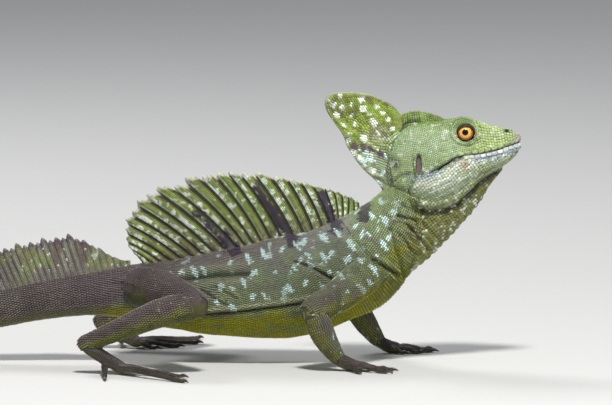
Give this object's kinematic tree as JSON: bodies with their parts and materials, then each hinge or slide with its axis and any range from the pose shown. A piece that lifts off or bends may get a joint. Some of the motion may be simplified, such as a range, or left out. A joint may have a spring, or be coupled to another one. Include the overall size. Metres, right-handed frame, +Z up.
{
  "type": "green basilisk",
  "caption": "Life-size still model of an adult male green basilisk, head raised, with two head crests, a tall back sail, a tail fin and a long tail resting on the floor.",
  "frame": {"origin": "centre of the footprint, on the floor under the feet and tail", "axes": "+X from the tail towards the snout, +Y to the animal's left, +Z up"},
  "size_m": [0.7222, 0.2054, 0.1277],
  "materials": {
    "skin": "fine overlapping scales, satin",
    "throat_skin": "larger rhombic scales, satin",
    "crest_skin": "thin skin over bony rays, satin",
    "limb_skin": "fine keeled scales, satin",
    "eye": "wet gloss",
    "claw": "horn, worn tip"
  },
  "bodies": {
    "root": {"head": "skin", "neck": "skin", "torso": "skin", "tail_1": "skin", "tail_2": "skin", "tail_3": "skin", "tail_4": "skin", "tail_5": "skin", "tail_6": "skin", "throat": "throat_skin", "crest_head_main": "crest_skin", "crest_head_front": "crest_skin", "crest_back": "crest_skin", "crest_tail_1": "crest_skin", "crest_tail_2": "crest_skin", "eye_left": "eye", "eye_right": "eye", "upper_arm_left": "skin", "upper_arm_right": "skin", "thigh_left": "skin", "thigh_right": "skin", "forearm_left": "limb_skin", "forearm_right": "limb_skin", "shank_left": "limb_skin", "shank_right": "limb_skin", "hand_left": "limb_skin", "hand_right": "limb_skin", "foot_left": "limb_skin", "foot_right": "limb_skin"}
  },
  "joints": []
}
